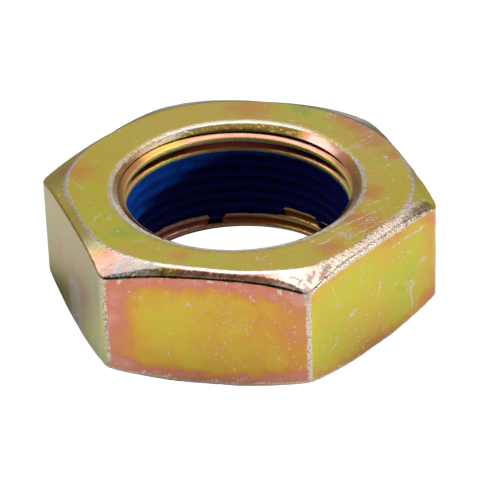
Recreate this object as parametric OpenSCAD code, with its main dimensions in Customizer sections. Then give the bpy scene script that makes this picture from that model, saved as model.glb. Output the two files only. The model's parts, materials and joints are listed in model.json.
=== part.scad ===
// Thin hexagon lock nut of plated steel, crowned on both faces and countersunk at both ends of its thread,
// with a nylon locking patch fused over the middle of the thread. It stands on its lower face, centred on the Z axis.

/* [Hexagon] */
// Distance between opposite spanner flats
across_flats = 41; // [36:0.5:60]
// Height from face to face
thickness = 14.8; // [10:0.1:30]
// How far the round edge of each face lies inside the spanner flats
face_margin = 0.8; // [0.3:0.1:2]
// Slope of the crown's cone away from each face, in degrees
crown_angle = 23; // [10:1:40]
// Radius of the shoulder where a face rolls over into the crown
shoulder_radius = 2.5; // [0.5:0.1:5]
// How far each upright corner edge is blunted along its diagonal
corner_blunting = 0.25; // [0.05:0.05:1]

/* [Thread] */
// Nominal diameter of the thread, at the roots of its grooves
thread_d = 28; // [20:1:30]
// Height of one turn of the thread
thread_pitch = 1.5; // [1:0.25:3]
// How far outside the nominal diameter each countersink's cone would meet its face, were the rim sharp
countersink_lip = 0.55; // [0.3:0.05:2]
// Full angle of the countersink's cone, in degrees
countersink_angle = 110; // [80:5:130]
// Radius of the rim where a face rolls over into its countersink
rim_radius = 1.6; // [0.2:0.1:3]

/* [Locking patch] */
// Thickness of the nylon film over the thread's crests
film_thickness = 0.12; // [0.05:0.01:0.2]
// Bare thread between the upper countersink and the patch
bare_above = 2.2; // [0.5:0.1:3]
// Bare thread between the lower countersink and the patch
bare_below = 2.2; // [1.2:0.1:4]
// How far the run of nylon hangs below the lower edge
run_drop = 1; // [0.2:0.1:1.2]
// Width of the run round the bore, in degrees
run_width = 8; // [2:1:30]
// Place of the run's middle round the bore, in degrees
run_place = 113; // [95:1:250]
// How far the lower edge is drawn up along its short stretch
short_rise = 1.3; // [0.2:0.1:2.5]
// Width of the short stretch round the bore, in degrees
short_width = 34; // [5:1:60]
// Place of the short stretch's middle round the bore, in degrees
short_place = 58; // [30:1:70]

/* [Hidden] */
$fn = 96;

// Hexagon and crown
corner_d = across_flats / cos(30);
blunted_r = corner_d / 2 - corner_blunting;
face_r = across_flats / 2 - face_margin;
crown_drop = (blunted_r - face_r) * tan(crown_angle);
shoulder_inner_r = face_r - shoulder_radius * tan(crown_angle / 2);
shoulder_steps = 4;

// Bore: the basic profile of a 60 degree thread leaves crests five eighths of its sharp height in
crest_depth = thread_pitch * 5 / 8 * cos(30);
bore_r = thread_d / 2 - crest_depth;
countersink_r = thread_d / 2 + countersink_lip;
countersink_slope = 90 - countersink_angle / 2;
countersink_depth = (countersink_r - bore_r) * tan(countersink_slope);
rim_outer_r = countersink_r + rim_radius * tan(countersink_slope / 2);
rim_steps = 4;
overcut = 1;

// Patch
patch_top = thickness - countersink_depth - bare_above;
patch_bottom = countersink_depth + bare_below;

// Section of the crown as radius and depth below its face: round the shoulder, then down the cone
crown_section = concat(
    [
        for (step = [0:shoulder_steps])
            let (turn = crown_angle * step / shoulder_steps)
            [shoulder_inner_r + shoulder_radius * sin(turn), shoulder_radius * (1 - cos(turn))]
    ],
    [[blunted_r, crown_drop]]
);

// Section of the countersink as radius and depth below its face: round the rim, then down the cone
countersink_section = concat(
    [
        for (step = [0:rim_steps])
            let (turn = countersink_slope * step / rim_steps)
            [rim_outer_r - rim_radius * sin(turn), rim_radius * (1 - cos(turn))]
    ],
    [[bore_r, countersink_depth]]
);

// A section turned over to the upper face, with its points in the opposite order
function at_upper_face(section) = [
    for (i = [len(section) - 1:-1:0])
        [section[i][0], thickness - section[i][1]]
];

// Solid of revolution that turns both faces round and blunts the corners
module crown() {
    rotate_extrude()
        polygon(concat(
            [[0, 0]],
            crown_section,
            at_upper_face(crown_section),
            [[0, thickness]]
        ));
}

// Bore at the thread's crests, with a countersink running out through each face
module countersunk_bore() {
    rotate_extrude()
        polygon(concat(
            [[0, -overcut], [rim_outer_r, -overcut]],
            countersink_section,
            at_upper_face(countersink_section),
            [[rim_outer_r, thickness + overcut], [0, thickness + overcut]]
        ));
}

// Steel nut: a hexagon bar, crowned, bored and countersunk
module nut_body() {
    color("#b79c48")
        difference() {
            intersection() {
                cylinder(h = thickness, d = corner_d, $fn = 6);
                crown();
            }
            countersunk_bore();
        }
}

// Cutter that trims the film over part of a turn, centred on a place round the bore
module film_cutter(place, width, low, high) {
    rotate([0, 0, place - width / 2])
        rotate_extrude(angle = width)
            translate([bore_r - 2 * film_thickness, low])
                square([3 * film_thickness, high - low]);
}

// Nylon film on the bore wall, with a lower edge that hangs in a run and draws up along a short stretch
module locking_patch() {
    run_bottom = patch_bottom - run_drop;
    color("#16296b")
        difference() {
            translate([0, 0, run_bottom])
                cylinder(h = patch_top - run_bottom, r = bore_r);
            translate([0, 0, run_bottom - overcut])
                cylinder(h = patch_top - run_bottom + 2 * overcut, r = bore_r - film_thickness);
            film_cutter(run_place + 180, 360 - run_width, run_bottom - overcut, patch_bottom);
            film_cutter(short_place, short_width, run_bottom - overcut, patch_bottom + short_rise);
        }
}

nut_body();
locking_patch();
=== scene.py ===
"""Thin hexagon lock nut in yellow-passivated zinc, with a blue nylon locking patch fused on its thread."""

import json
import math
from functools import reduce

import bmesh
import bpy
from bpy.props import FloatProperty, FloatVectorProperty, PointerProperty
from mathutils import Matrix, Vector, noise


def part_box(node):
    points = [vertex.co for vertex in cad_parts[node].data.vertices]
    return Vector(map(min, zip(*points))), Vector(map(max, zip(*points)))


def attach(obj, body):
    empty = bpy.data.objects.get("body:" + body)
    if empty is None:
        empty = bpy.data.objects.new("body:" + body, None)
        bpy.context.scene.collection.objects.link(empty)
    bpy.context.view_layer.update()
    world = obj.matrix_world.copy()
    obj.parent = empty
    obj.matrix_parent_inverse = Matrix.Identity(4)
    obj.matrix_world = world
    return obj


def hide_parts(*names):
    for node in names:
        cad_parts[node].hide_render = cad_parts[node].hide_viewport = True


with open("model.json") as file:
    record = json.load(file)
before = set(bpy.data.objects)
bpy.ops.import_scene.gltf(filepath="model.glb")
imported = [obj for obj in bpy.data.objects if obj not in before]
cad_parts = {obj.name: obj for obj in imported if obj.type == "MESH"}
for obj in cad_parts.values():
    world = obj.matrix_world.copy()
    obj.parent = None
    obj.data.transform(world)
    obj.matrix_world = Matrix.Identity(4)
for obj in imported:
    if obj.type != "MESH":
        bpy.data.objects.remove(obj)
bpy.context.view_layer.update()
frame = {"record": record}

bl_info = {
    "name": "Hexagon Lock Nut",
    "version": (1, 0, 0),
    "blender": (4, 5, 0),
    "location": "3D View > Sidebar > Lock Nut",
    "description": "Models a plated hexagon lock nut with a nylon locking patch, and its studio",
    "category": "Add Mesh",
}

MM = 0.001
# Points closer together than this are one
WELD = 0.001 * MM
# A sixth of a turn, from corner to corner
SIXTH = math.radians(60)
THREAD = next(mount for mount in frame["record"]["mounts"] if mount["name"] == "thread")
CREST_RADIUS = THREAD["dims"]["r_mm"] * MM
NUT_LOW, NUT_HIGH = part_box("nut_body")


def length(name, description, default):
    """A length setting in metres."""
    return FloatProperty(name=name, description=description, default=default, unit="LENGTH", precision=5)


def angle(name, description, degrees):
    """An angle setting, given in degrees."""
    return FloatProperty(name=name, description=description, default=math.radians(degrees), subtype="ANGLE")


def amount(name, description, default):
    """A plain number that is never negative."""
    return FloatProperty(name=name, description=description, default=default, min=0)


def linear(code):
    """A colour code such as b79c48 as linear red, green and blue."""
    parts = [int(code[i:i + 2], 16) / 255 for i in (0, 2, 4)]
    return tuple(c / 12.92 if c <= 0.04045 else ((c + 0.055) / 1.055) ** 2.4 for c in parts)


def colour(name, description, code):
    """A colour setting, given as a colour code."""
    return FloatVectorProperty(
        name=name, description=description, default=linear(code), subtype="COLOR", size=3, min=0, max=1
    )


class LockNutSizes(bpy.types.PropertyGroup):
    """Sizes of the nut and its patch."""

    across_flats: length("Across flats", "Distance between opposite spanner flats", NUT_HIGH.y - NUT_LOW.y)
    across_corners: length("Across corners", "Distance between blunted corners", NUT_HIGH.x - NUT_LOW.x)
    thickness: length("Thickness", "Height from face to face", NUT_HIGH.z - NUT_LOW.z)
    shoulder_radius: length("Shoulder radius", "Rounding from a face into its lip", 0.8 * MM)
    lip_width: length("Lip width", "Width of the burnished lip round each face", 0.5 * MM)
    lip_angle: angle("Lip angle", "Least slope of the lip", 17)
    corner_softness: length("Corner softness", "How softly the upright corners are blunted", 0.15 * MM)
    dent_depth: length("Dent depth", "Depth of the dents along the worn edges", 0.09 * MM)
    mouth_radius: length("Countersink radius", "Where a countersink's cone meets the face", 14.65 * MM)
    mouth_angle: angle("Countersink angle", "Full angle of each countersink", 110)
    rim_radius: length("Rim radius", "Rounding from a face into the countersink", 3.2 * MM)
    rim_crease: angle("Rim crease", "Tilt at which that rounding starts", 10)
    crest_radius: length("Crest radius", "Radius of the bore at the thread's crests", CREST_RADIUS)
    pitch: length("Pitch", "Height of one turn of the thread", 1.5 * MM)
    crest_height: length("Crest height", "Height of a crest above the lower face, on the X axis", 0.8 * MM)
    film: length("Film", "Thickness of the nylon over the thread's crests", 0.12 * MM)


class PlatingLook(bpy.types.PropertyGroup):
    """Colours of the yellow passivated zinc, from a thin film to a thick one."""

    green: colour("Green", "Thinnest film", "86a05a")
    lime: colour("Lime", "Thin film", "bcb83a")
    gold: colour("Gold", "Usual film", "c8ab41")
    orange: colour("Orange", "Thicker film", "ca9142")
    salmon: colour("Salmon", "Thick film, as along the flats' borders", "c87c66")
    rose: colour("Rose", "Thickest film", "d2a090")
    silver: colour("Silver", "Bare zinc where the film is worn off", "d8cdc2")
    scuff: colour("Scuff", "Zinc rubbed to a dull grey", "a2a5ab")
    # This colour paints dirt in the worn zinc's crumbs, and paints shade in the thread's grooves, on the
    # countersinks' cones and along rolled edges
    grime_and_shade: colour("Grime", "Dark film left along rolled edges and in grooves", "33240f")
    roughness: amount("Roughness", "Roughness of the unworn film", 0.28)


class NylonLook(bpy.types.PropertyGroup):
    """Colours of the nylon patch."""

    deep: colour("Deep blue", "Nylon in the grooves", "010236")
    light: colour("Light blue", "Nylon on the crests", "030958")
    # Painted light: the colour of the nylon where light falls on the upper left of the bore
    painted_lit_blue: colour("Painted light blue", "Nylon on the left of the bore, where it is brightest", "0a4cb6")
    roughness: amount("Roughness", "Roughness of the nylon", 0.55)


class StudioSetup(bpy.types.PropertyGroup):
    """Camera, light and floor."""

    camera_turn: angle("Camera turn", "Camera's angle round the nut from straight in front", 11.2734)
    camera_rise: angle("Camera rise", "Camera's angle above the floor", 31.7449)
    camera_roll: angle("Camera roll", "Camera's turn about its own axis", -1.993)
    camera_distance: length("Camera distance", "Distance from the aim to the camera", 345.88 * MM)
    aim_right: length("Aim right", "Aim's place to the right of the nut's middle", 0.702 * MM)
    aim_up: length("Aim up", "Aim's place above the nut's middle, across the view", -0.896 * MM)
    lens: amount("Lens", "Focal length in millimetres", 215.07)
    floor_glow: amount("Floor glow", "Light given off by the floor", 1.11)
    surround: amount("Surround", "Brightness of the walls behind the nut", 0.8)
    camera_side: amount("Camera side", "Brightness of the room behind the camera", 0.07)
    softbox: amount("Softbox", "Brightness of the light above", 1.7)
    side_lamp: amount("Side lamp", "Brightness of the low lamp on the right", 16.0)


def activate(piece):
    """Makes one piece the only selected object and the active one."""
    bpy.ops.object.select_all(action="DESELECT")
    piece.select_set(True)
    bpy.context.view_layer.objects.active = piece


def wrapped(name, columns):
    """A closed ring: a grid wrapped round the axis, with one closed section of points for each column."""
    across, along = len(columns), len(columns[0])
    bpy.ops.object.select_all(action="DESELECT")
    bpy.ops.mesh.primitive_grid_add(x_subdivisions=across, y_subdivisions=along, size=1)
    piece = bpy.context.object
    piece.name = name
    bpy.ops.object.mode_set(mode="EDIT")
    mesh = bmesh.from_edit_mesh(piece.data)
    for vertex in mesh.verts:
        column = round((vertex.co.x + 0.5) * across) % across
        row = round((vertex.co.y + 0.5) * along) % along
        vertex.co = columns[column][row]
    bmesh.update_edit_mesh(piece.data)
    close_up()
    return piece


def close_up():
    """Merges doubles, points the faces outwards and leaves edit mode."""
    bpy.ops.mesh.select_all(action="SELECT")
    bpy.ops.mesh.remove_doubles(threshold=WELD)
    bpy.ops.mesh.normals_make_consistent(inside=False)
    bpy.ops.object.mode_set(mode="OBJECT")


def combine(piece, tool, operation):
    """Cuts a piece with a tool or trims it to the tool, which is then thrown away."""
    activate(piece)
    bpy.ops.object.modifier_add(type="BOOLEAN")
    modifier = piece.modifiers[-1]
    modifier.operation = operation
    modifier.object = tool
    modifier.solver = "EXACT"
    bpy.ops.object.modifier_apply(modifier=modifier.name)
    bpy.data.objects.remove(tool)


def tap(name, sizes, section):
    """A right-hand screw as a solid. Its section gives shares of a turn's height, with radii."""
    spare_turns, steps_per_turn = 3, 128
    start = sizes.crest_height - spare_turns * sizes.pitch
    turns = math.ceil(sizes.thickness / sizes.pitch) + 2 * spare_turns - 1
    points = [Vector((radius, 0, start + sizes.pitch * rise)) for rise, radius in section]
    bpy.ops.object.select_all(action="DESELECT")
    bpy.ops.mesh.primitive_plane_add(size=MM)
    piece = bpy.context.object
    piece.name = name
    bpy.ops.object.mode_set(mode="EDIT")
    bpy.ops.mesh.select_all(action="SELECT")
    bpy.ops.mesh.merge(type="CENTER")
    bpy.ops.mesh.select_all(action="SELECT")
    bpy.ops.transform.translate(value=points[0])
    for here, there in zip(points, points[1:]):
        bpy.ops.mesh.extrude_vertices_move(TRANSFORM_OT_translate={"value": there - here})
    bpy.ops.object.mode_set(mode="OBJECT")
    bpy.ops.object.modifier_add(type="SCREW")
    screw = piece.modifiers[-1]
    screw.screw_offset = sizes.pitch
    screw.iterations = turns
    screw.steps = screw.render_steps = steps_per_turn
    screw.use_merge_vertices = True
    screw.merge_threshold = WELD
    bpy.ops.object.modifier_apply(modifier=screw.name)
    for end_height in (start, start + sizes.pitch * (turns + 1)):
        cap_end(piece, end_height, sizes.pitch)
    bpy.ops.object.mode_set(mode="EDIT")
    close_up()
    return piece


def cap_end(piece, end_height, pitch):
    """Closes one open end of a screw-shaped solid by drawing its rim in to a point on the axis."""
    bpy.ops.object.mode_set(mode="EDIT")
    bpy.ops.mesh.select_mode(type="EDGE")
    bpy.ops.mesh.select_all(action="SELECT")
    bpy.ops.mesh.remove_doubles(threshold=WELD)
    bpy.ops.mesh.select_all(action="DESELECT")
    mesh = bmesh.from_edit_mesh(piece.data)
    reach = 1.01 * pitch
    for edge in mesh.edges:
        middle = sum(vertex.co.z for vertex in edge.verts) / 2
        edge.select = edge.is_boundary and abs(middle - end_height) < reach
    bmesh.update_edit_mesh(piece.data)
    bpy.ops.mesh.extrude_edges_move()
    bpy.ops.transform.resize(value=(0, 0, 0), center_override=(0, 0, end_height))
    bpy.ops.mesh.remove_doubles(threshold=WELD)
    bpy.ops.object.mode_set(mode="OBJECT")


def finish_mesh(piece, smooth_angle):
    """Shades a piece smooth across soft edges, with normals that keep its flat faces flat."""
    activate(piece)
    bpy.ops.object.shade_smooth_by_angle(angle=smooth_angle)
    bpy.ops.object.modifier_add(type="WEIGHTED_NORMAL")
    weighting = piece.modifiers[-1]
    weighting.keep_sharp = True
    bpy.ops.object.modifier_apply(modifier=weighting.name)


# How battered the edges are round the nut: degrees and amount
BATTERED = [(-180, 0.6), (-150, 0.4), (-120, 0.9), (-62, 0.9), (-45, 1), (0, 1), (60, 0.7), (180, 0.6)]

# The upper and the lower crown by degrees round the nut: radius in millimetres where the face ends, slope
# in degrees, and rounding into the flats in millimetres
UPPER_FACE = [
    (-180, 20.2), (-169, 20), (-157, 19.2), (-143, 19.3), (-133, 19.7), (-122, 19.7), (-114, 19.4),
    (-101, 18.8), (-92, 18.6), (-84, 18.85), (-69, 19.5), (-61, 20), (-55, 20.2), (-45, 19.7), (-30, 19.2),
    (-22, 19.35), (-12, 20.1), (-2, 20.4), (8, 20.5), (15, 20.3), (30, 20), (60, 20), (90, 19.7),
    (120, 20.1), (150, 19.7), (180, 20.2),
]
UPPER_SLOPE = [
    (-180, 22), (-165, 14), (-150, 8), (-135, 14), (-122, 20), (-113, 15), (-104, 8), (-92, 4), (-80, 5),
    (-72, 10), (-65, 18), (-60, 23), (-52, 18), (-42, 11), (-30, 8), (-15, 14), (0, 24), (15, 18), (30, 13),
    (48, 21), (60, 28), (72, 21), (90, 20), (110, 21), (120, 26), (130, 21), (150, 20), (180, 22),
]
UPPER_ROUNDING = [
    (-180, 0.45), (-150, 0.4), (-125, 0.35), (-100, 0.3), (-72, 0.3), (-59, 0.4), (-49, 0.6), (-38, 0.7),
    (-28, 0.7), (-10, 0.6), (0, 0.5), (60, 0.5), (90, 0.9), (120, 0.5), (150, 0.9), (180, 0.45),
]
LOWER_FACE = [(-180, 20.1), (-150, 20.4), (-125, 20.1), (-90, 19.9), (120, 19.9), (180, 20.1)]
LOWER_SLOPE = [(-180, 23), (180, 23)]
LOWER_ROUNDING = [
    (-180, 0.4), (-150, 0.25), (-122, 0.4), (-105, 0.85), (-75, 0.85), (-60, 0.5), (-30, 0.8), (0, 0.5),
    (30, 0.9), (60, 0.5), (90, 0.9), (120, 0.5), (150, 0.9), (180, 0.4),
]


def signed_degrees(turn):
    """An angle in degrees, from -180 to 180."""
    return math.degrees(math.atan2(math.sin(turn), math.cos(turn)))


def level_at(stops, degrees):
    """The amount at an angle, between stops of degrees and amount."""
    for (low, before), (high, after) in zip(stops, stops[1:]):
        if low <= degrees <= high:
            return before + (after - before) * (degrees - low) / (high - low)
    raise ValueError(f"no stop at {degrees} degrees")


def directions(per_flat):
    """Directions round the nut, closer together towards its corners."""
    crowding = 0.12
    turns = []
    for flat in range(6):
        for step in range(per_flat):
            share = 2 * step / per_flat - 1
            along = share + crowding * math.sin(math.pi * share)
            turns.append(math.radians(60 * flat + 30) + math.atan(along * math.tan(math.radians(30))))
    return turns


def outline_radius(sizes, turn):
    """Radius of the hexagon in a direction, with softly blunted corners."""
    flat = sizes.across_flats / 2 / math.cos(turn % SIXTH - SIXTH / 2)
    corner = sizes.across_corners / 2
    soft = sizes.corner_softness
    return corner - soft * math.log(1 + math.exp((corner - flat) / soft))


class Crown:
    """The crown in one direction: where the face ends, its slope and its rounding into a flat."""

    def __init__(self, sizes, turn, tables):
        degrees = signed_degrees(turn)
        face, slope, rounding = (level_at(table, degrees) for table in tables)
        self.face = face * MM
        self.slope = math.radians(slope)
        self.rounding = rounding * MM
        self.shoulder = sizes.shoulder_radius
        self.lip_width = sizes.lip_width
        self.lip_slope = max(sizes.lip_angle, self.slope)
        self.limit = outline_radius(sizes, turn)

    def fall(self, radius):
        """How far the crown lies below its face at a radius, and how steeply it falls there."""
        past = radius - self.face
        if past <= 0:
            return 0, 0
        turned = self.shoulder * math.sin(self.lip_slope)
        if past < turned:
            tilt = math.asin(past / self.shoulder)
            return self.shoulder * (1 - math.cos(tilt)), tilt
        lip = self.shoulder * (1 - math.cos(self.lip_slope))
        if past < self.lip_width:
            return lip + (past - turned) * math.tan(self.lip_slope), self.lip_slope
        lip = lip + (self.lip_width - turned) * math.tan(self.lip_slope)
        return lip + (past - self.lip_width) * math.tan(self.slope), self.slope

    def rounding_start(self):
        """Radius where the crown runs into its rounding."""
        near, far = 0, self.limit
        for _ in range(40):
            middle = (near + far) / 2
            tilt = self.fall(middle)[1]
            if middle < self.limit - self.rounding * (1 - math.sin(tilt)):
                near = middle
            else:
                far = middle
        return near


def half_section(sizes, crown):
    """Section of half the nut, from a waist inside the thread to the middle of a flat.

    Each point has a radius, a depth below the face, a tilt from the axis and a share of the edge's wear.
    """
    slope = math.pi / 2 - sizes.mouth_angle / 2
    centre = sizes.mouth_radius + sizes.rim_radius * math.tan(slope / 2)
    waist = 0.8 * sizes.crest_radius
    points = [(waist, (sizes.mouth_radius - waist) * math.tan(slope), -slope, 0)]
    rim_steps, rim_wear = 6, 0.2
    for step in range(rim_steps + 1):
        tilt = slope + (sizes.rim_crease - slope) * step / rim_steps
        rim = centre - sizes.rim_radius * math.sin(tilt)
        depth = sizes.rim_radius * (math.cos(sizes.rim_crease) - math.cos(tilt))
        points.append((rim, depth, -tilt, rim_wear))
    start = crown.rounding_start()
    face_steps, crown_steps, crown_wear = 8, 8, 0.25
    lip = min(1.2 * sizes.lip_width, 0.7 * (start - crown.face))
    past_lip = start - crown.face - lip
    radii = [rim + (crown.face - rim) * step / face_steps for step in range(1, face_steps + 1)]
    radii += [crown.face + lip * share for share in (0.1, 0.2, 0.3, 0.45, 0.6, 0.75, 0.83, 0.9, 1)]
    radii += [crown.face + lip + past_lip * step / crown_steps for step in range(1, crown_steps + 1)]
    for radius in radii:
        points.append((radius, *crown.fall(radius), crown_wear * (radius / start) ** 12))
    fall, tilt = crown.fall(start)
    centre = fall + crown.rounding * math.cos(tilt)
    edge_steps = 9
    for step in range(1, edge_steps + 1):
        bend = tilt + (math.pi / 2 - tilt) * step / edge_steps
        radius = crown.limit - crown.rounding * (1 - math.sin(bend))
        wear = math.sin(math.pi * step / (edge_steps + 1))
        points.append((radius, centre - crown.rounding * math.cos(bend), bend, wear))
    wall_steps = 12
    for step in range(1, wall_steps):
        depth = centre + (sizes.thickness / 2 - centre) * (step / wall_steps) ** 1.5
        points.append((crown.limit, depth, math.pi / 2, 0))
    return points


def dented(sizes, place, inward, wear):
    """A point of the surface, knocked in by dents where it is worn."""
    fine = noise.noise(place / (0.45 * MM))
    broad = noise.noise(place / (1.4 * MM))
    hollow = max(0, 0.25 + 0.6 * fine + 0.5 * broad)
    return place + inward * sizes.dent_depth * wear * hollow


def nut_columns(sizes, per_flat):
    """Closed sections of the worn hexagon, one for each direction."""
    corner_reach = 0.55 * MM
    up = Vector((0, 0, 1))
    columns = []
    for turn in directions(per_flat):
        out = Vector((math.cos(turn), math.sin(turn), 0))
        battered = level_at(BATTERED, signed_degrees(turn))
        past_corner = turn % SIXTH
        from_corner = min(past_corner, SIXTH - past_corner) * sizes.across_corners / 2
        corner_wear = math.exp(-(from_corner / corner_reach) ** 2)
        upper, lower = [], []
        for half, tables, side in (
            (upper, (UPPER_FACE, UPPER_SLOPE, UPPER_ROUNDING), 1),
            (lower, (LOWER_FACE, LOWER_SLOPE, LOWER_ROUNDING), -1),
        ):
            for radius, depth, tilt, wear in half_section(sizes, Crown(sizes, turn, tables)):
                share = max(wear, corner_wear * abs(math.sin(tilt)) ** 8) * battered
                height = sizes.thickness - depth if side > 0 else depth
                inward = -(out * math.sin(tilt) + up * side * math.cos(tilt))
                half.append(dented(sizes, out * radius + up * height, inward, share))
        middle = out * outline_radius(sizes, turn) + up * sizes.thickness / 2
        columns.append(upper + [middle] + lower[::-1])
    return columns


def thread_section(sizes):
    """Section of one turn of the nut's thread, from crest to crest, as share of the pitch and radius."""
    depth = sizes.pitch * 5 / 8 * math.cos(math.radians(30))
    crest = sizes.crest_radius
    half = [(0, 0), (0.08, 0.01), (0.125, 0.05), (0.18, 0.19), (0.40, 0.88), (0.44, 0.975), (0.5, 1)]
    both = half + [(1 - rise, share_out) for rise, share_out in reversed(half[:-1])]
    return [(rise, crest + depth * share_out) for rise, share_out in both]


def film_section(sizes):
    """Section of one turn of the nylon's surface, softer and shallower than the thread under it."""
    steps = 12
    crest = sizes.crest_radius - sizes.film
    depth = sizes.pitch * 0.2
    return [
        (step / steps, crest + depth * (1 - math.cos(math.tau * step / steps)) / 2)
        for step in range(steps + 1)
    ]


def model_body(sizes):
    """The steel nut: a crowned and countersunk hexagon with worn edges, tapped with its thread."""
    body = wrapped("plated_nut", nut_columns(sizes, 80))
    combine(body, tap("tap", sizes, thread_section(sizes)), "DIFFERENCE")
    finish_mesh(body, math.radians(32))
    return body


# The patch's lower edge round the bore: degrees and height in millimetres
LOWER_EDGE = [
    (-180, 3.1), (30, 4.0), (52, 4.1), (53, 3.0), (55, 3.0), (56, 4.2), (75, 4.25), (80, 2.95), (95, 2.8),
    (108, 2.85), (110, 2.1), (116, 2.05), (118, 3.05), (135, 3.2), (152, 3.25), (180, 3.3),
]


def patch_columns(sizes):
    """Closed sections of the nylon before it is trimmed to the thread, with a ragged lower edge.

    The upper edge runs under a turn of the thread, and drops back by one turn at the seam.
    """
    inside = sizes.crest_radius - 0.7 * MM
    outside = sizes.crest_radius + sizes.pitch
    seam, seam_reach = 240, 50
    turn_above, clearance = 7, 0.14 * MM
    steps = 720
    columns = []
    for step in range(steps):
        degrees = 360 * step / steps
        out = Vector((math.cos(math.radians(degrees)), math.sin(math.radians(degrees)), 0))
        turned = degrees if degrees < seam else degrees - 360
        under = sizes.crest_height + sizes.pitch * (turn_above + turned / 360) - clearance
        back = max(0, 1 - abs(degrees - seam) / seam_reach)
        middle = sizes.crest_height + sizes.pitch * (turn_above + (seam - 180) / 360)
        top = under + (middle - under) * back * back * (3 - 2 * back)
        top = top + noise.noise(out * 23) * 0.04 * MM
        ragged = noise.noise(out * 9) * 0.09 + noise.noise(out * 31) * 0.06
        low = (level_at(LOWER_EDGE, degrees if degrees <= 180 else degrees - 360) + ragged) * MM
        rows = [(inside, low), (outside, low), (outside, top), (inside, top)]
        columns.append([out * radius + Vector((0, 0, height)) for radius, height in rows])
    return columns


def model_patch(sizes):
    """The nylon film: a ring with ragged edges, trimmed to the thread outside and to the film inside."""
    patch = wrapped("nylon_patch", patch_columns(sizes))
    combine(patch, tap("tap", sizes, thread_section(sizes)), "INTERSECT")
    combine(patch, tap("film", sizes, film_section(sizes)), "DIFFERENCE")
    finish_mesh(patch, math.radians(40))
    return patch


class Term:
    """A value in a node tree. Arithmetic on it adds Math nodes, and add brings in any other node."""

    def __init__(self, tree, socket=None):
        self.tree = tree
        self.socket = socket

    def add(self, kind, settings=None, sockets=None, output=0):
        """Adds a node: first its settings, then the values or links of its sockets."""
        node = self.tree.nodes.new("ShaderNode" + kind)
        for name, value in (settings or {}).items():
            if name == "stops":
                set_stops(node.color_ramp, value)
            else:
                setattr(node, name, value)
        for name, value in (sockets or {}).items():
            if isinstance(value, Term):
                self.tree.links.new(value.socket, node.inputs[name])
            else:
                node.inputs[name].default_value = value
        return Term(self.tree, node.outputs[output])

    def maths(self, operation, *others):
        """A Math node on this value and others."""
        return self.add("Math", {"operation": operation}, dict(enumerate((self, *others))))

    def vectors(self, operation, *others, scale=None, output=0):
        """A Vector Math node on this vector and others."""
        sockets = dict(enumerate((self, *others)))
        if scale is not None:
            sockets["Scale"] = scale
        return self.add("VectorMath", {"operation": operation}, sockets, output)

    def __add__(self, other):
        return self.maths("ADD", other)

    __radd__ = __add__

    def __sub__(self, other):
        return self.maths("SUBTRACT", other)

    def __rsub__(self, other):
        return self.add("Math", {"operation": "SUBTRACT"}, {0: other, 1: self})

    def __mul__(self, other):
        return self.maths("MULTIPLY", other)

    __rmul__ = __mul__

    def __truediv__(self, other):
        return self.maths("DIVIDE", other)

    def __rtruediv__(self, other):
        return self.add("Math", {"operation": "DIVIDE"}, {0: other, 1: self})

    def __abs__(self):
        return self.maths("ABSOLUTE")

    def least(self, other):
        """The smaller of two values."""
        return self.maths("MINIMUM", other)

    def most(self, other):
        """The larger of two values."""
        return self.maths("MAXIMUM", other)

    def rise(self, low, high):
        """A smooth step from nought at one value to one at another."""
        return self.add(
            "MapRange",
            {"interpolation_type": "SMOOTHSTEP"},
            {"Value": self, "From Min": low, "From Max": high},
        )

    def near(self, middle, reach):
        """One at a value, fading to nought at a reach to either side of it."""
        return abs(self - middle).rise(reach, 0)

    def is_number(self, number):
        """One where this value is a whole number."""
        return self.maths("COMPARE", number, 0.5)

    def blend(self, other, share):
        """This value, going over to another by a share."""
        return self + (other - self) * share

    def ramp(self, stops):
        """A colour from stops of place and colour."""
        return self.add("ValToRGB", {"stops": stops}, {"Fac": self})

    def towards(self, other, share):
        """This colour mixed with another by a share."""
        other = other if isinstance(other, Term) else (*other, 1)
        return self.add("Mix", {"data_type": "RGBA"}, {0: share, 6: self, 7: other}, 2)

    def split(self):
        """The three parts of a vector or colour."""
        parts = self.add("SeparateXYZ", {}, {0: self}).socket.node.outputs
        return [Term(self.tree, part) for part in parts]

    def cloud(self, size, detail=2.0, roughness=0.5):
        """Noise round nought at this place, in blobs of about a size."""
        sockets = {"Vector": self, "Scale": 1 / size, "Detail": detail, "Roughness": roughness}
        return self.add("TexNoise", {}, sockets, "Fac") - 0.5

    def drift(self, size, reach):
        """This place, pushed about by noise."""
        sockets = {"Vector": self, "Scale": 1 / size, "Detail": 2}
        push = self.add("TexNoise", {}, sockets, "Color").vectors("SUBTRACT", (0.5, 0.5, 0.5))
        return self.vectors("ADD", push.vectors("SCALE", scale=reach))

    def spot(self, centre, radius):
        """One round a point, fading to nought at a radius."""
        return self.vectors("DISTANCE", centre, output="Value").rise(radius, 0)

    def stroke(self, start, end, width):
        """One along a line from point to point, fading to nought at a width."""
        way = Vector(end) - Vector(start)
        gone = self.vectors("SUBTRACT", start).vectors("DOT_PRODUCT", way.normalized(), output="Value")
        gone = gone.most(0).least(way.length)
        foot = self.add("VectorMath", {"operation": "SCALE"}, {0: way.normalized(), "Scale": gone})
        return self.vectors("DISTANCE", foot.vectors("ADD", start), output="Value").rise(width, 0.3 * width)


def set_stops(ramp, stops):
    """Gives a colour ramp its stops, each a place with a colour or a grey."""
    while len(ramp.elements) < len(stops):
        ramp.elements.new(0.5)
    for element, (place, tint) in zip(ramp.elements, sorted(stops, key=lambda stop: stop[0])):
        element.position = place
        element.color = (*tint, 1) if hasattr(tint, "__len__") else (tint, tint, tint, 1)


def total(terms):
    """The sum of some terms."""
    return reduce(Term.__add__, terms)


def highest(terms):
    """The largest of some terms."""
    return reduce(Term.most, terms)


def fresh_material(name):
    """A new material, with the term that its nodes are added from."""
    material = bpy.data.materials.new(name)
    material.use_nodes = True
    return material, Term(material.node_tree)


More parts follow.
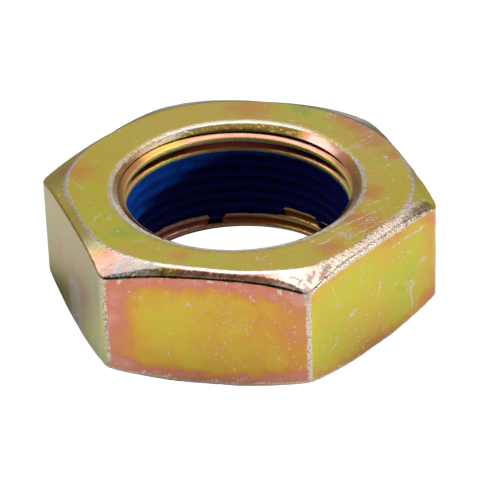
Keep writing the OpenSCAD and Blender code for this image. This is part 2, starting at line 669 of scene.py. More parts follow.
def dress(material, even, varied):
    """Sets a shader's even values, and links those that vary over the surface."""
    tree = material.node_tree
    shader = tree.nodes["Principled BSDF"]
    for name, value in even.items():
        shader.inputs[name].default_value = value
    for name, term in varied.items():
        tree.links.new(term.socket, shader.inputs[name])


class NutPlaces:
    """Where a point lies on the nut, as terms in millimetres."""

    def __init__(self, base, sizes):
        self.top = sizes.thickness / MM
        self.rim = sizes.mouth_radius / MM
        self.crest = sizes.crest_radius / MM
        self.place = base.add("TexCoord", output="Object").vectors("SCALE", scale=1 / MM)
        x, y, self.z = self.place.split()
        self.reach = (x * x + y * y).maths("SQRT")
        self.turn = y.maths("ARCTAN2", x)
        self.round = self.turn / math.tau + 0.5
        self.sector = (self.turn / SIXTH).maths("FLOOR")
        swing = self.turn - (self.sector + 0.5) * SIXTH
        along = self.reach * swing.maths("SINE")
        half_side = sizes.across_flats / MM / 2 * math.tan(SIXTH / 2)
        self.from_left = along + half_side
        self.from_right = half_side - along
        self.from_corner = self.from_left.least(self.from_right)
        self.upper = self.z.rise(0.45 * self.top, 0.55 * self.top)
        self.past_face = self.reach - self.by_face(UPPER_FACE, LOWER_FACE, 18, 22)
        fall = self.crown_fall(sizes)
        self.below = self.top - fall - self.z
        self.above = self.z - fall
        self.edge = self.below.least(self.above)
        self.rolled = self.edge / self.by_face(UPPER_ROUNDING, LOWER_ROUNDING, 0, 2)
        self.on_flat = self.rolled.rise(0.5, 0.9) * self.past_face.rise(0.1, 0.4)
        self.on_crown = self.past_face.rise(-0.1, 0.15) * (1 - self.on_flat)
        self.in_bore = self.reach.rise(self.rim + 0.05, self.rim - 0.15)
        self.by_rim = self.reach.rise(self.rim + 0.95, self.rim + 0.65)

    def crown_fall(self, sizes):
        """How far the crown has fallen below its face, first along its lip and then along its slope."""
        slope = self.by_face(UPPER_SLOPE, LOWER_SLOPE, 0, 30) * math.radians(1)
        lip_width = sizes.lip_width / MM
        lip_fall = lip_width * 0.8 * math.tan(sizes.lip_angle)
        on_lip = (self.past_face / lip_width).most(0).least(1)
        past_lip = (self.past_face - lip_width).most(0)
        return past_lip * slope.maths("TANGENT") + on_lip * lip_fall

    def by_angle(self, stops):
        """An amount that changes round the nut, by stops of degrees and amount, and is even beyond them."""
        return self.round.ramp([(degrees / 360 + 0.5, level) for degrees, level in stops])

    def by_face(self, upper, lower, least, most):
        """An amount that changes round the nut, by a table for each half of its height."""
        high, low = (
            self.by_angle([(degrees, (level - least) / (most - least)) for degrees, level in table])
            for table in (upper, lower)
        )
        return low.blend(high, self.upper) * (most - least) + least

    def by_flat(self, column):
        """A column of the table of films, as an amount for the flat that a point lies on."""
        return total(
            self.sector.is_number(flat) * row[column] for flat, row in FLAT_FILMS.items() if row[column]
        )


# The six flats by number, as their sectors come round from the back
LEFT, FRONT, RIGHT, RIGHT_BACK, BACK, LEFT_BACK = -3, -2, -1, 0, 1, 2

# The film on each flat: in the middle, then how much thicker it gets along the left, right, upper and lower
# borders, and how bare the zinc shows through
MIDDLE, TO_LEFT, TO_RIGHT, TO_TOP, TO_FOOT, BARE = range(6)
FLAT_FILMS = {
    LEFT: (0.34, 0.0, -0.1, 0.0, -0.15, 0.34),
    FRONT: (0.46, 0.31, 0.18, 0.38, 0.36, 0.0),
    RIGHT: (0.26, 0.0, 0.22, 0.18, 0.28, 0.0),
    RIGHT_BACK: (0.36, 0.25, 0.15, 0.3, 0.25, 0.1),
    BACK: (0.32, 0.2, 0.3, 0.3, 0.3, 0.0),
    LEFT_BACK: (0.28, 0.2, 0.15, 0.3, 0.3, 0.2),
}


def top_point(x, y):
    """A point on the upper face, in millimetres."""
    return Vector((x, y, NUT_HIGH.z / MM))


def flat_point(flat, along, height):
    """A point on a flat, from its place along the flat and its height, in millimetres."""
    half_width = (NUT_HIGH.y - NUT_LOW.y) / 2 / MM
    facing = math.radians(60 * flat + 30)
    out = Vector((math.cos(facing), math.sin(facing), 0))
    across = Vector((-out.y, out.x, 0))
    return out * half_width + across * along + Vector((0, 0, height))


def crown_point(degrees, reach):
    """A point on the upper crown, from its direction and its distance from the axis in millimetres."""
    turn = math.radians(degrees)
    return Vector((reach * math.cos(turn), reach * math.sin(turn), NUT_HIGH.z / MM - 0.6))


def spots(top, flats):
    """Spots with points as centres, from x and y on the upper face, or along and up on the flats."""
    found = [(top_point(x, y), *rest) for x, y, *rest in top]
    for flat, rows in flats.items():
        found += [(flat_point(flat, along, height), *rest) for along, height, *rest in rows]
    return found


# Soft stains where the film is thicker or thinner: two numbers for the centre, then radius and change
STAINS = spots(
    [
        (-15, -9.2, 5, -0.1), (-10.7, -12.4, 4.5, -0.2), (-5.8, -16.7, 4, -0.06), (-17, -3.8, 3.5, -0.1),
        (-19.4, 0.5, 4, 0.3), (-3.5, -16.6, 2.5, 0.25), (8.8, -15.2, 4.5, 0.02), (0.6, -17, 3.5, -0.1),
        (-1.8, 18.5, 5, 0.24), (5.2, 19.4, 4.8, -0.22), (10.2, 16.7, 3.2, 0.35), (12.6, 15, 2.6, 0.3),
        (8.7, 14.8, 2.6, -0.15), (15.8, 0.2, 2.6, 0.32), (14.3, -5.4, 3, 0.28), (13, -12.7, 3, 0.25),
        (17.2, 6.4, 2.6, -0.1), (16.3, -6.8, 3.6, 0.24), (14.4, 12.4, 3.4, 0.3), (17, 9, 2.6, 0.25),
    ],
    {
        FRONT: [(-4.2, 8.6, 5.5, -0.08), (-10.6, 9, 4, 0.05), (8, 9.5, 6, 0.1)],
        RIGHT: [(5.6, 6.2, 3.4, -0.06), (7, 9.5, 4, -0.04), (-0.6, 3.6, 6.5, 0.15), (4, 12.5, 4.5, 0.14)],
        LEFT: [
            (-5.5, 7.8, 5, 0.22), (0.5, 7.4, 4, 0.2), (4.5, 6.8, 3.5, 0.24), (7.5, 3.5, 5, -0.18),
            (9.5, 9.5, 4, -0.16), (-9.5, 10, 5, -0.2), (-7, 3, 5, -0.08),
        ],
    },
)

# Places rubbed down to crumbs of zinc: two numbers for the centre, then radius
RUBS = spots(
    [
        (8.3, 17.6, 2.2), (11.0, 16.6, 2.6), (13.6, 14.2, 2.6), (16.4, 10.4, 2.4), (12.4, 10.6, 2.0),
        (16.6, -6.3, 3.0), (14.2, -9.6, 2.4),
    ],
    {RIGHT: [(6.6, 5.6, 2.2), (8.8, 7.6, 1.6), (-4.2, 7.0, 1.4)]},
)

# Brown bruises on the crown over the right-hand corners: start, end and width
BRUISES = [
    (crown_point(*start), crown_point(*end), width)
    for start, end, width in [
        ((-50.5, 20.7), (-53, 21.5), 0.7),
        ((-53.5, 21.7), (-55, 22.2), 0.4),
        ((-57.5, 21.3), (-58.5, 22.2), 0.5),
        ((-60, 21.7), (-62, 22.3), 0.3),
        ((-63.5, 20.7), (-61, 21.8), 0.35),
        ((-55.5, 21.0), (-57, 21.8), 0.35),
        ((-1, 22.6), (-8, 21.7), 0.85),
        ((-6, 21.6), (-14, 20.9), 0.65),
    ]
]

# Scratches down to the zinc, as chains of points: by x and y on the upper face, along and up on a flat
TOP_SCRATCHES = [
    [(-14.7, -11.35), (-14.86, -9.6), (-14.3, -8.85), (-13.7, -8.55)],
    [(11.4, 9.4), (14.0, 13.2)],
    [(11.5, 12.2), (13.6, 14.2)],
    [(12.45, -9.35), (18.1, -2.6)],
    [(14.4, -10.8), (19.2, -4.6)],
    [(11.5, -12.3), (14.8, -8.2)],
    [(15.6, -2.95), (17.9, -1.05)],
    [(12.7, -8.9), (15.0, -9.65)],
    [(-16.7, -6.45), (-15.6, -6.1)],
    [(-9.5, -14.2), (-8.5, -14.05)],
]
RIGHT_SCRATCHES = [
    [(1.0, 9.3), (0.4, 6.7), (0.0, 5.8)],
    [(3.2, 12.2), (9.0, 12.2)],
    [(6.6, 5.1), (6.8, 1.5)],
    [(-4.7, 6.8), (-3.5, 7.2)],
]
SCRATCHES = [[top_point(*place) for place in chain] for chain in TOP_SCRATCHES]
SCRATCHES += [[flat_point(RIGHT, *place) for place in chain] for chain in RIGHT_SCRATCHES]


def flat_film(at):
    """How thick the film is on the flats, where it changes towards their borders."""
    ragged = at.place.cloud(1.8, 3) * 2.6
    borders = [
        (TO_LEFT, at.from_left, 4.8, 0.8),
        (TO_RIGHT, at.from_right, 5.0, 0.4),
        (TO_TOP, at.below, 2.8, 0.7),
        (TO_FOOT, at.above, 2.8, 0.5),
    ]
    film = at.by_flat(MIDDLE)
    for column, distance, far, close in borders:
        film = film + at.by_flat(column) * (distance + ragged).rise(far, close)
    thickest = 0.8
    return film.least(thickest)


def bore_film(at):
    """How thick the film is on the countersinks and on the thread's turns, where it thins on the crests."""
    cone = at.by_angle([
        (0, 0.6), (34, 0.65), (42, 0.95), (61, 0.95), (70, 0.4), (125, 0.4), (150, 0.5), (165, 0.7),
        (180, 0.62),
    ])
    low = at.by_angle([(-180, 0.8), (40, 0.55), (70, 0.6), (100, 0.75), (140, 0.92), (180, 0.9)])
    high = at.by_angle([(-180, 0.8), (20, 0.6), (60, 0.85), (125, 0.9), (138, 0.5), (150, 0.75), (180, 0.8)])
    turns = low.blend(high, at.upper) + at.place.cloud(1.2, 2) * 0.3
    turns = turns - at.reach.rise(at.crest + 0.3, at.crest + 0.1) * (0.15 + at.upper * 0.3)
    return turns.blend(cone, at.z.rise(at.top - 1.1, at.top - 0.8))


def film_thickness(at):
    """How thick the film is, from nought to one."""
    face = 0.34
    crown = at.by_angle([
        (-180, 0.3), (-141, 0.42), (-136, 0.28), (-131, 0.3), (-126, 0.75), (-117, 0.85), (-112, 0.45),
        (-102, 0.45), (-97, 0.85), (-75, 0.85), (-56, 0.88), (-20, 0.7), (-8, 0.62), (0, 0.3), (40, 0.3),
        (60, 0.36), (120, 0.36), (180, 0.3),
    ])
    film = flat_film(at) * at.on_flat + face * (1 - at.on_flat)
    film = film.blend(crown, at.on_crown)
    loose = at.place.drift(2.0, 2.2)
    film = film + total(loose.spot(centre, radius) * change for centre, radius, change in STAINS)
    film = film + at.place.cloud(3.5) * 0.32 + at.place.cloud(1.1, 2) * 0.16
    return film.blend(bore_film(at), at.in_bore)


def bare_places(at):
    """How far the zinc shows through a thin film, from nought to one."""
    crown = at.by_angle([
        (-180, 0), (-141, 0.1), (-135, 0.5), (-131, 0.45), (-126, 0.2), (-118, 0.25), (-112, 0.3), (-104, 0),
        (-72, 0), (-67, 0.4), (-63, 0.75), (-59, 0.6), (-55, 0.3), (-30, 0.2), (-12, 0.05), (0, 0),
    ])
    face = at.by_angle([
        (-125, 0), (-100, 0.05), (-50, 0.05), (-25, 0.01), (5, 0.02), (30, 0.06), (130, 0.06), (165, 0.01),
        (180, 0),
    ])
    flats = at.by_flat(BARE) * (1 - at.above.rise(8, 2) * 0.75)
    lip = (at.past_face + at.place.cloud(0.5, 3) * 0.6).near(0.26, 0.36) * at.upper
    lip = lip * at.by_angle([(-117, 0), (-109, 0.7), (-102, 1), (-62, 1), (-58, 0)])
    film = flats * at.on_flat + crown * at.on_crown + face * (1 - at.on_flat)
    return film.most((lip * 2.5).least(1))


def worn_ring(at):
    """Wear along the round edge of each face, from nought to one."""
    width = at.by_angle([
        (-172, 0.6), (-163, 0.5), (-155, 0.28), (-148, 0.25), (-141, 0.5), (-135, 0.5), (-127, 0.35),
        (-112, 0.4), (-62, 0.35), (-25, 0.35), (-10, 0.45), (10, 0.35), (120, 0.35), (180, 0.55),
    ])
    strength = at.by_angle([
        (-180, 0.75), (-150, 0.8), (-135, 0.7), (-115, 0.8), (-106, 0.3), (-72, 0.3), (-62, 0.2), (-52, 0.6),
        (-45, 0.8), (-20, 0.85), (-10, 1), (15, 0.85), (30, 0.65), (60, 0.5), (90, 0.2), (140, 0.2),
        (165, 0.5), (180, 0.75),
    ])
    return (abs(at.past_face - 0.1) / width).rise(1, 0.2) * strength


def rim_wear_and_highlight(at):
    """Wear along the upper countersink's rim, from nought to one, deeper on the left at the back, and
    strongest at the back, where it also paints a highlight.
    """
    # Strongest from 72 to 128 degrees, where the silver also serves as a painted highlight along the far rim
    strength = at.by_angle([
        (-165, 0.65), (-140, 0.5), (-90, 0.5), (-45, 0.6), (-10, 0.7), (25, 0.65), (36, 0.4), (62, 0.5),
        (72, 0.95), (128, 0.95), (142, 0.6), (155, 0.55), (163, 0.6), (180, 0.65),
    ])
    deeper = at.by_angle([(118, 0), (132, 0.55), (156, 0.55), (168, 0)])
    ragged = at.reach + at.place.cloud(0.8, 3, 0.6) * 0.8
    outside = ragged.rise(at.rim + 0.7, at.rim + 0.45)
    inside = (ragged + deeper).rise(at.rim - 0.25, at.rim - 0.05)
    return outside * inside * strength * at.z.rise(at.top - 1.2, at.top - 0.7)


def worn_corners(at):
    """Wear along the upright corners and round their ends, from nought to one."""
    width = at.by_angle([(-180, 0.7), (-135, 0.8), (-120, 0.9), (-105, 0.8), (-75, 0.7)])
    strength = at.by_angle([(-127, 1), (-122, 0.8), (-116, 0.75), (-105, 1)])
    upright = (at.from_corner / width).rise(1, 0.3) * strength
    ends = (at.from_corner + at.edge * 0.8).rise(1.7, 0.7) * at.past_face.rise(0.5, 1.2)
    return (upright * 0.9).most(ends * 0.8) * at.on_flat


def worn_edges(at):
    """Wear along the upper and lower edges of the flats, from nought to one, with chips beside them."""
    low = at.rolled.near(0.5, 0.65) * at.past_face.rise(0, 0.4) * (1 - at.upper)
    high = at.rolled.near(0.6, 0.5) * at.past_face.rise(-0.2, 0.3) * at.upper
    high = high * at.by_angle([
        (-180, 0.5), (-165, 0.4), (-125, 0.3), (-112, 0.4), (-65, 0.4), (-55, 0.5), (-5, 0.5), (5, 0.4),
    ])
    crumbled = at.past_face.rise(0.2, 0.5) * at.rolled.rise(1.5, 0.9) * at.upper
    crumbled = crumbled * at.by_angle([(-58, 0), (-51, 0.75), (-40, 0.9), (-12, 0.85), (-3, 0.5), (3, 0)])
    chips = at.edge.rise(1.6, 0.3) * at.on_flat * at.place.cloud(1.3, 2).rise(0.08, 0.16)
    return highest([low * 0.7, high, crumbled, chips * 0.8])


def corner_flare(at):
    """Where the crown is burnished down into the front right corner, from nought to one."""
    spread = at.from_corner + at.below.most(0) * 0.35 + at.place.cloud(0.5, 2) * 0.8
    front_right = at.turn.near(math.radians(-60), 0.1)
    return spread.rise(1.1, 0.5) * at.past_face.rise(1, 1.6) * at.upper * front_right


def worn_places(at):
    """Where the film is worn down to crumbs of zinc, from nought to one."""
    facet = at.on_crown * at.upper * at.by_angle([
        (-129, 0), (-124, 0.35), (-117, 0.42), (-110, 0.45), (-104, 0.1), (-100, 0),
    ])
    rubbed = total(at.place.spot(centre, radius) for centre, radius in RUBS).least(1) * 0.45
    lines = highest([
        worn_ring(at), rim_wear_and_highlight(at), worn_corners(at), worn_edges(at), facet, rubbed, corner_flare(at),
    ])
    crumbs = at.place.cloud(0.4, 3, 0.65) * 1.7 + at.place.cloud(1.8, 2) * 0.5
    return (lines + crumbs).rise(0.35, 0.7) * lines.rise(0.05, 0.3)


def hairlines(at, heading, width, reach):
    """Fine straight scratches along a heading across the faces, from nought to one."""
    x, y, _ = at.place.split()
    along = x * math.cos(heading) + y * math.sin(heading)
    across = y * math.cos(heading) - x * math.sin(heading)
    strands = at.place.add("CombineXYZ", {}, {0: across / width, 1: along / reach, 2: 0})
    return strands.cloud(1, 1).rise(0.2, 0.25)


def scratched_places(at):
    """Where scratches and flecks show the zinc, from nought to one."""
    shaken = at.place.drift(0.8, 0.6)
    width = 0.2
    lines = highest(
        shaken.stroke(here, there, width) for chain in SCRATCHES for here, there in zip(chain, chain[1:])
    )
    lines = lines * at.place.cloud(0.6, 2).rise(-0.14, 0.06)
    scraped = at.by_angle([
        (-180, 0.15), (-100, 0.1), (-60, 1), (20, 1.2), (70, 1.1), (105, 0.4), (180, 0.15),
    ])
    field = hairlines(at, math.radians(50), 0.3, 5).most(hairlines(at, math.radians(25), 0.25, 3.5))
    field = field * (at.place.cloud(2.5, 1) + scraped * 0.3 - 0.22).rise(0, 0.1) * (1 - at.on_flat)
    flecks = highest(
        at.place.vectors("MULTIPLY", stretch).cloud(0.32, 1).rise(0.2, 0.25)
        for stretch in ((1, 1, 0.35), (0.4, 0.4, 1), (1, 0.4, 0.6))
    )
    flecks = flecks * at.place.cloud(2.2, 1).rise(-0.06, 0.08)
    curls = abs(at.place.drift(0.8, 0.5).cloud(1.6, 0)).rise(0.012, 0.004)
    curls = curls * at.place.cloud(1.1, 1).rise(0.08, 0.14)
    return highest([lines, field * 0.8, flecks * 0.85, curls * 0.85])


def bore_shade(at):
    """Painted shade in the thread's grooves and on the countersinks' cones, from nought to one."""
    # Painted shade in the grooves, more of it in the lower half of the bore
    groove = at.reach.rise(at.crest + 0.15, at.crest + 0.6) * at.in_bore * at.edge.rise(0.5, 0.9)
    cone = at.in_bore * at.edge.rise(0.95, 0.6) * at.place.cloud(0.4, 3).rise(-0.4, 0)
    # Painted shade on the cones, strongest at the back of the bore
    cone = cone * at.by_angle([
        (-180, 0.6), (-30, 0.5), (28, 0.6), (40, 0.1), (62, 0.1), (70, 1), (125, 1), (140, 0.5), (180, 0.6),
    ])
    return (groove * (0.36 - at.upper * 0.14)).most(cone * 0.88)


def edge_film_and_shade(at, worn):
    """Darkening along the crown, from nought to one: painted shade on its rolled edge, a band of film inside
    that, and specks.
    """
    rough = at.place.cloud(0.4, 3)
    # Painted shade: the black line that the rolled edge reflects, painted along it
    roll = at.rolled.near(0.35, 0.45) * at.past_face.rise(0.1, 0.5) * rough.rise(-0.2, 0.12)
    roll = roll * at.by_angle([
        (-180, 0.6), (-150, 0.7), (-126, 0.8), (-121, 0.5), (-114, 1), (-98, 0.8), (-85, 0.6), (-60, 0.4),
        (-54, 0), (0, 0), (30, 0.3),
    ])
    band_start = 4 * at.by_angle([
        (-121, 1), (-119, 0.75), (-115, 0.55), (-110, 0.28), (-105, 0.15), (-98, 0.12), (-80, 0.12),
        (-72, 0.16), (-67, 0.33), (-63, 0.5), (-60, 0.75), (-58, 1),
    ])
    band = (at.past_face - band_start + rough * 0.9).rise(0, 0.35) * (1 - at.on_flat) * at.upper
    band = band * (0.86 + at.place.cloud(0.9, 2) * 0.5) * rough.rise(-0.6, -0.15)
    specks = at.past_face.near(0.15, 0.4) * rough.rise(0.02, 0.1) * at.upper
    specks = specks * at.by_angle([
        (-180, 0.4), (-125, 0.5), (-110, 0.2), (-60, 0.2), (-52, 1), (-14, 1), (0, 0.3), (180, 0.4),
    ])
    return highest([roll * 0.7 * (1 - worn), band * (1 - worn * 0.5), specks * 0.8])


def bruises_and_crown_shade(at):
    """Bruises on the crown, and painted shade on the crown at the left and at the back, from nought to one.
    """
    shaken = at.place.drift(0.7, 0.9)
    bruises = total(shaken.stroke(start, end, width) for start, end, width in BRUISES).least(1)
    # Painted shade on the crown, at the left and at the back
    behind = at.by_angle([
        (-180, 0.2), (-165, 0.25), (-150, 0.38), (-138, 0.38), (-131, 0.1), (-127, 0), (-15, 0), (0, 0.07),
        (20, 0.05), (30, 0), (45, 0.55), (75, 0.55), (90, 0.3), (105, 0.45), (140, 0.4), (160, 0.1),
        (180, 0.2),
    ])
    return (bruises * 0.6).most(at.on_crown * at.upper * behind)


def zinc_crumbs(at, look, crumb):
    """The colours of worn zinc: silver with crumbs of film and dirt, paler at the back of the rim as a
    painted highlight.
    """
    tint = crumb.ramp([(0.15, look.grime_and_shade), (0.34, look.gold), (0.5, look.silver), (0.85, look.rose)])
    # Painted highlight: paler zinc along the back of the rim, and a little paler on the front flats
    painted_highlight = at.by_rim * at.by_angle([(62, 0), (75, 0.5), (128, 0.5), (142, 0)])
    painted_highlight = painted_highlight + at.on_flat * at.by_angle([(-116, 0), (-65, 0.1), (-58, 0.1), (180, 0)])
    return tint.towards(look.silver, 0.45 + at.place.cloud(1.3, 2) * 0.9 + painted_highlight)


def dulled_places(at):
    """Where worn zinc on the upper face is dull, from nought to one: along its edge and round the rim."""
    strength = at.by_angle([
        (-130, 0.4), (-118, 0), (-25, 0), (-8, 0.35), (20, 0.4), (50, 0.2), (150, 0.1), (180, 0.4),
    ])
    return strength * at.past_face.near(0.1, 0.9).most(at.by_rim * (1 - at.in_bore)) * at.upper


def painted_rim_highlight(at):
    """A painted highlight: a pale line along the front of the upper rim, from nought to one."""
    front = at.by_angle([(-180, 0), (-165, 0.4), (-150, 1), (-30, 1), (-15, 0.4), (0, 0)])
    line = at.reach.rise(at.rim - 0.75, at.rim - 0.45) * at.reach.rise(at.rim + 0.3, at.rim + 0.05)
    return front * line * at.upper * at.place.cloud(0.5, 2).rise(-0.4, 0.1)


def plated_zinc(look, sizes):
    """Zinc with a yellow passivated film, coloured by its thickness and worn along the edges."""
    material, base = fresh_material("yellow_zinc")
    at = NutPlaces(base, sizes)
    front_left = at.by_angle([(-126, 0), (-121, 0.2), (-116, 0.2), (-112, 0)]) * at.on_flat
    crumb = at.place.cloud(0.32, 2, 0.6).rise(-0.25, 0.25) - front_left
    crests = at.reach.rise(at.crest + 0.2, at.crest + 0.08) * at.in_bore
    scuffed = at.by_angle([(-123, 0), (-117, 0.9), (-109, 1), (-104, 0)]) * at.on_crown
    worn = worn_places(at).most(scratched_places(at) * (1 - at.in_bore))
    flare = corner_flare(at)
    rim_highlight = painted_rim_highlight(at)
    tint = film_thickness(at).ramp([
        (0.02, look.green), (0.2, look.lime), (0.4, look.gold), (0.58, look.orange), (0.78, look.salmon),
        (0.95, look.rose),
    ])
    tint = tint.towards(look.silver, bare_places(at).most(crests * crumb * 0.6))
    tint = tint.towards(look.scuff, scuffed * at.place.cloud(0.8, 2).rise(-0.3, 0.1))
    tint = tint.towards(zinc_crumbs(at, look, crumb), worn)
    tint = tint.towards(look.scuff, worn * dulled_places(at))
    # Darkening from painted shade in the bore, along the rolled edges and on the crown, together with film,
    # specks and bruises
    dirt_and_painted_shade = highest([bore_shade(at), edge_film_and_shade(at, worn), bruises_and_crown_shade(at)])
    tint = tint.towards(look.grime_and_shade, dirt_and_painted_shade * (1 - flare * 0.8))
    tint = tint.towards(look.silver, rim_highlight * 0.8)
    tint = tint.vectors("SCALE", scale=1 + at.place.cloud(0.9, 2) * 0.08)
    roughness = look.roughness - at.in_bore * (0.1 - crests * 0.4) + at.place.cloud(1.5, 2) * 0.12
    roughness = roughness + worn * 0.06 + scuffed * 0.12 + rim_highlight * 0.3 + flare * 0.3
    # Less metallic under the painted rim highlight, so that it takes up the light from above
    metallic = 1 - rim_highlight * 0.75
    crumbling = at.rolled.near(0.45, 0.6) * at.past_face.rise(0.2, 0.6) * at.upper
    height = at.place.cloud(0.3, 3) * (0.008 + worn * 1.4 + crests * 1.2 + crumbling * 1.1)
    normal = base.add("Bump", {}, {"Strength": 1, "Distance": 0.05 * MM, "Height": height})
    varied = {"Base Color": tint, "Metallic": metallic, "Roughness": roughness, "Normal": normal}
    dress(material, {}, varied)
    return material


def fused_nylon(look, sizes):
    """Dark blue nylon, a little lighter on the crests, with painted light on the upper left of the bore, and
    a fine powdery grain.
    """
    material, base = fresh_material("blue_nylon")
    at = NutPlaces(base, sizes)
    crests = at.reach.rise(at.crest + 0.35, at.crest - 0.1)
    blotch = at.place.cloud(1.4, 3)
    # Painted light: the nylon is paler above this height round the bore, as if light fell over the rim from
    # the right, with the edge of its shadow below
    painted_light_above = 12 * at.by_angle([
        (-180, 0.5), (-90, 0.55), (0, 0.92), (60, 0.98), (105, 0.95), (115, 0.89), (135, 0.77), (155, 0.65),
        (175, 0.52), (180, 0.5),
    ])
    painted_light = (at.z - painted_light_above + blotch * 1.5).rise(-0.9, 0.9)
    tint = crests.ramp([(0, look.deep), (1, look.light)]).towards(look.painted_lit_blue, painted_light)
    tint = tint.vectors("SCALE", scale=1 + blotch * 1.2 + at.place.cloud(0.35, 2) * 0.8)
    roughness = look.roughness + blotch * 0.3
    height = at.place.cloud(0.25, 3)
    normal = base.add("Bump", {}, {"Strength": 0.6, "Distance": 0.02 * MM, "Height": height})
    varied = {"Base Color": tint, "Roughness": roughness, "Normal": normal}
    dress(material, {"Specular IOR Level": 0.06}, varied)
    return material


def glowing_floor(setup):
    """A pale floor that gives off light, less of it under the nut, close round it and at its left back.

    To the camera it looks evenly white.
    """
    material, base = fresh_material("pale_floor")
    place = base.add("TexCoord", output="Object").vectors("SCALE", scale=1 / MM)
    x, y, _ = place.split()
    reach = (x * x + y * y).maths("SQRT")
    outermost = 200
    light = (reach / outermost).ramp([
        (0, 0.3), (0.1, 0.3), (0.115, 0.6), (0.145, 0.85), (0.19, 1), (0.35, 0.95), (1, 0.5),
    ])
    left_back = (y * 0.6 - x * 0.8) / reach
    right_front = (x * 0.87 - y * 0.5) / reach
    close_by = reach.rise(28, 22) * reach.rise(18, 20)
    dimmed = left_back.rise(0.2, 0.8) * (0.37 + close_by * 0.5)
    balance = 1 - dimmed + right_front.rise(0.82, 1) * 0.18
    light = light.vectors("SCALE", scale=balance)
    light = light.towards((1, 1, 1), base.add("LightPath", output="Is Camera Ray"))
    even = {
        "Base Color": (0, 0, 0, 1),
        "Roughness": 1,
        "Specular IOR Level": 0,
        "Emission Strength": setup.floor_glow,
    }
    dress(material, even, {"Emission Color": light})
    return material


class LOCKNUT_OT_body(bpy.types.Operator):
    """Model the plated steel nut with its thread"""

    bl_idname = "lock_nut.body"
    bl_label = "Nut Body"

    def execute(self, context):
        sizes = context.scene.lock_nut_sizes
        body = model_body(sizes)
        body.data.materials.append(plated_zinc(context.scene.lock_nut_plating, sizes))
        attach(body, "root")
        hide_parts("nut_body")
        return {"FINISHED"}


class LOCKNUT_OT_patch(bpy.types.Operator):
    """Model the nylon patch fused on the thread"""

    bl_idname = "lock_nut.patch"
    bl_label = "Locking Patch"

    def execute(self, context):
        sizes = context.scene.lock_nut_sizes
        patch = model_patch(sizes)
        patch.data.materials.append(fused_nylon(context.scene.lock_nut_nylon, sizes))
        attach(patch, "root")
        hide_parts("locking_patch")
        return {"FINISHED"}


class LOCKNUT_OT_studio(bpy.types.Operator):
    """Set up the floor, the light and the camera"""

    bl_idname = "lock_nut.studio"
    bl_label = "Studio"

    def execute(self, context):
        setup = context.scene.lock_nut_studio
        lay_floor(setup)
        hang_lights(setup)
        place_camera(setup, context.scene.lock_nut_sizes)
        return {"FINISHED"}


def lay_floor(setup):
    """A pale, softly glowing floor, a hair below the nut so that their faces never lie in one plane."""
    width, drop = 4, 0.02 * MM
    bpy.ops.object.select_all(action="DESELECT")
    bpy.ops.mesh.primitive_plane_add(size=width, location=(0, 0, -drop))
    floor = bpy.context.object
    floor.name = "floor"
    floor.data.materials.append(glowing_floor(setup))


def light_room(setup, toward_camera):
    """A pale room that is dim on the camera's side, and that the camera sees as white."""
    world = bpy.data.worlds.new("surround")
    bpy.context.scene.world = world
    world.use_nodes = True
    base = Term(world.node_tree)
    ways = base.add("TexCoord", output="Generated")
    facing = ways.vectors("DOT_PRODUCT", toward_camera, output="Value")
    steepness = ways.split()[2]
    walls = steepness.ramp([(0, 0.5), (0.25, 0.5), (0.5, 0.95), (0.8, 1)]).split()[0] * setup.surround
    level = walls.blend(setup.camera_side, facing.rise(-0.1, 0.3))
    level = level.blend(1, base.add("LightPath", output="Is Camera Ray"))
    background = world.node_tree.nodes["Background"]
    background.inputs["Color"].default_value = (1, 1, 1, 1)
    world.node_tree.links.new(level.socket, background.inputs["Strength"])


def hang_lights(setup):
    """A broad soft light above the nut and behind it, and a low lamp on its right, in a pale room."""
    toward_camera = Vector((math.sin(setup.camera_turn), -math.cos(setup.camera_turn), 0))
    light_room(setup, toward_camera)
    # The soft light's height, its near and far edges as seen from the camera, and its width, in metres
    height, near, far, width = 0.5, -0.035, 0.34, 1.0
    middle = -toward_camera * (near + far) / 2
    softbox = soft_panel("softbox", (middle.x, middle.y, height), (width, far - near), setup.softbox)
    softbox.rotation_euler = (0, 0, setup.camera_turn)
    turn, rise, distance = math.radians(-10), math.radians(8.5), 0.6
    out = Vector((math.cos(turn) * math.cos(rise), math.sin(turn) * math.cos(rise), math.sin(rise)))
    lamp = soft_panel("side_lamp", distance * out, (0.3, 0.07), setup.side_lamp)
    lamp.rotation_euler = out.to_track_quat("Z", "Y").to_euler()


def soft_panel(name, place, span, brightness):
    """A rectangular light that looks equally bright from every side it faces."""
    bpy.ops.object.light_add(type="AREA", location=place)
    light = bpy.context.object
    light.name = name
    light.data.shape = "RECTANGLE"
    light.data.size, light.data.size_y = span
    light.data.energy = brightness * math.pi * span[0] * span[1]
    return light


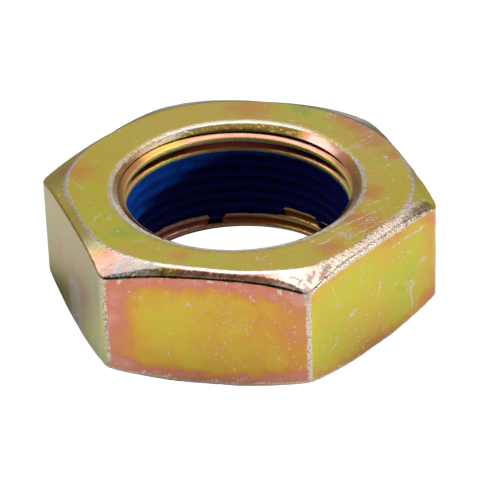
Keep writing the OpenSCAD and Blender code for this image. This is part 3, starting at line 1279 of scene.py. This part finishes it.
def place_camera(setup, sizes):
    """The camera at the photograph's angle, framed on a square picture."""
    turn, rise, roll = setup.camera_turn, setup.camera_rise, setup.camera_roll
    back = Vector((math.sin(turn) * math.cos(rise), -math.cos(turn) * math.cos(rise), math.sin(rise)))
    level = Vector((math.cos(turn), math.sin(turn), 0))
    steep = back.cross(level)
    right = math.cos(roll) * level + math.sin(roll) * steep
    up = math.cos(roll) * steep - math.sin(roll) * level
    aim = Vector((0, 0, sizes.thickness / 2)) + setup.aim_right * right + setup.aim_up * up
    data = bpy.data.cameras.new("camera")
    data.lens = setup.lens
    data.clip_start = 0.01
    camera = bpy.data.objects.new("camera", data)
    bpy.context.scene.collection.objects.link(camera)
    camera.matrix_world = Matrix.Translation(aim + back * setup.camera_distance) @ Matrix(
        (right, up, back)
    ).transposed().to_4x4()
    bpy.context.scene.camera = camera
    bpy.context.scene.view_settings.view_transform = "Standard"


class LOCKNUT_PT_panel(bpy.types.Panel):
    """Settings and steps of the lock nut"""

    bl_idname = "LOCKNUT_PT_panel"
    bl_label = "Lock Nut"
    bl_space_type = "VIEW_3D"
    bl_region_type = "UI"
    bl_category = "Lock Nut"

    def draw(self, context):
        for operator in OPERATORS:
            self.layout.operator(operator.bl_idname)
        for group in SETTINGS:
            box = self.layout.box()
            settings = getattr(context.scene, group)
            for name in settings.bl_rna.properties.keys():
                if name not in ("rna_type", "name"):
                    box.prop(settings, name)


SETTINGS = {
    "lock_nut_sizes": LockNutSizes,
    "lock_nut_plating": PlatingLook,
    "lock_nut_nylon": NylonLook,
    "lock_nut_studio": StudioSetup,
}
OPERATORS = (LOCKNUT_OT_body, LOCKNUT_OT_patch, LOCKNUT_OT_studio)


def register():
    """Registers the settings, the steps and the panel."""
    for name, group in SETTINGS.items():
        bpy.utils.register_class(group)
        setattr(bpy.types.Scene, name, PointerProperty(type=group))
    for operator in OPERATORS:
        bpy.utils.register_class(operator)
    bpy.utils.register_class(LOCKNUT_PT_panel)


def unregister():
    """Takes back what register added."""
    bpy.utils.unregister_class(LOCKNUT_PT_panel)
    for operator in reversed(OPERATORS):
        bpy.utils.unregister_class(operator)
    for name, group in reversed(SETTINGS.items()):
        delattr(bpy.types.Scene, name)
        bpy.utils.unregister_class(group)


def main():
    """Builds the nut and its studio."""
    register()
    bpy.ops.lock_nut.body()
    bpy.ops.lock_nut.patch()
    bpy.ops.lock_nut.studio()


if __name__ == "__main__":
    main()
